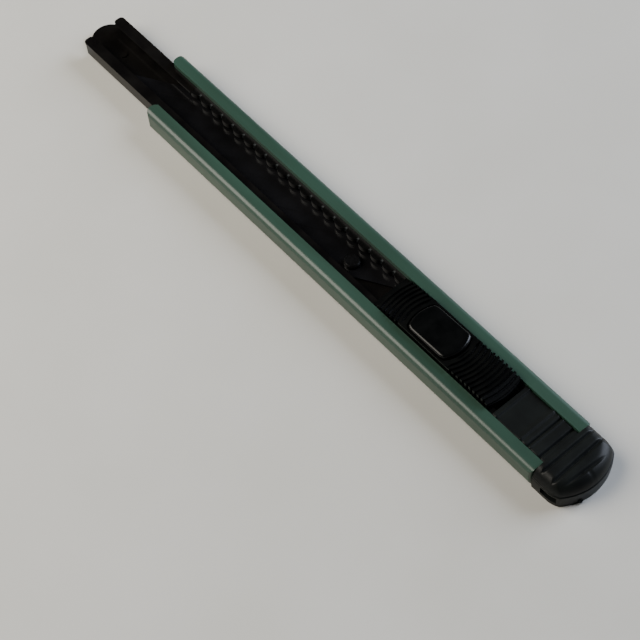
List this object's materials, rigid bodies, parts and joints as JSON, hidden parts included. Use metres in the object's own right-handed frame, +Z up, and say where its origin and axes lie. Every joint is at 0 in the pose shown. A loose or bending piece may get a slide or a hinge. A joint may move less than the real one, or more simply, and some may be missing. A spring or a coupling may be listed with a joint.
{
  "type": "utility knife",
  "caption": "Slim snap-off utility knife: a green sleeve over a black steel channel, a ribbed thumb slider with a lock button, a black blade and a pull-off tail cap.",
  "frame": {"origin": "centre of the overall length and width, on the flat underside the knife lies on", "axes": "+X along the knife to the blade's tip, +Y to the side with the shorter rail, which is the blade's cutting edge, +Z up through the thumb slider"},
  "size_m": [0.1542, 0.0156, 0.0071],
  "materials": {
    "green_plastic": "satin, moulded in green",
    "black_steel": "blackened sheet steel, semi-gloss",
    "black_blade": "black-coated blade steel, semi-gloss",
    "rivet_steel": "plain steel",
    "black_acetal": "smooth black",
    "slider_plastic": "matt black with ribs",
    "button_plastic": "glossy black",
    "cap_plastic": "charcoal, fine grain",
    "spring_steel": "bright strip"
  },
  "bodies": {
    "handle": {"sleeve": "green_plastic", "blade_channel": "black_steel", "channel_rivets": "rivet_steel", "ratchet_rack": "black_acetal", "rack_pins": "rivet_steel"},
    "slider": {"thumb_slider": "slider_plastic", "blade_holder": "black_steel", "slider_rivets": "rivet_steel", "blade_peg": "black_acetal", "blade": "black_blade", "button_spring": "spring_steel"},
    "lock_button": {"lock_button": "button_plastic"},
    "pawl": {"lock_pawl": "rivet_steel"},
    "tail_cap": {"tail_plug": "cap_plastic", "cap_base": "cap_plastic", "snap_plate": "spring_steel"}
  },
  "joints": [
    {"name": "slider_slide", "type": "slide", "parent": "handle", "child": "slider", "axis": [1, 0, 0], "range_m": [0, 0.06534]},
    {"name": "button_press", "type": "slide", "parent": "slider", "child": "lock_button", "axis": [0, 0, -1], "range_m": [0, 0.0007], "stiffness_N_per_m": 800, "springref_m": -0.0005, "deforming": ["button_spring"]},
    {"name": "pawl_slide", "type": "slide", "parent": "slider", "child": "pawl", "axis": [0, 1, 0], "range_m": [0, 0.0007]},
    {"name": "cap_pull", "type": "slide", "parent": "handle", "child": "tail_cap", "axis": [-1, 0, 0], "range_m": [0, 0.018]}
  ],
  "couplings": [
    {"joint": "pawl_slide", "follows": "button_press", "ratio": 1}
  ]
}
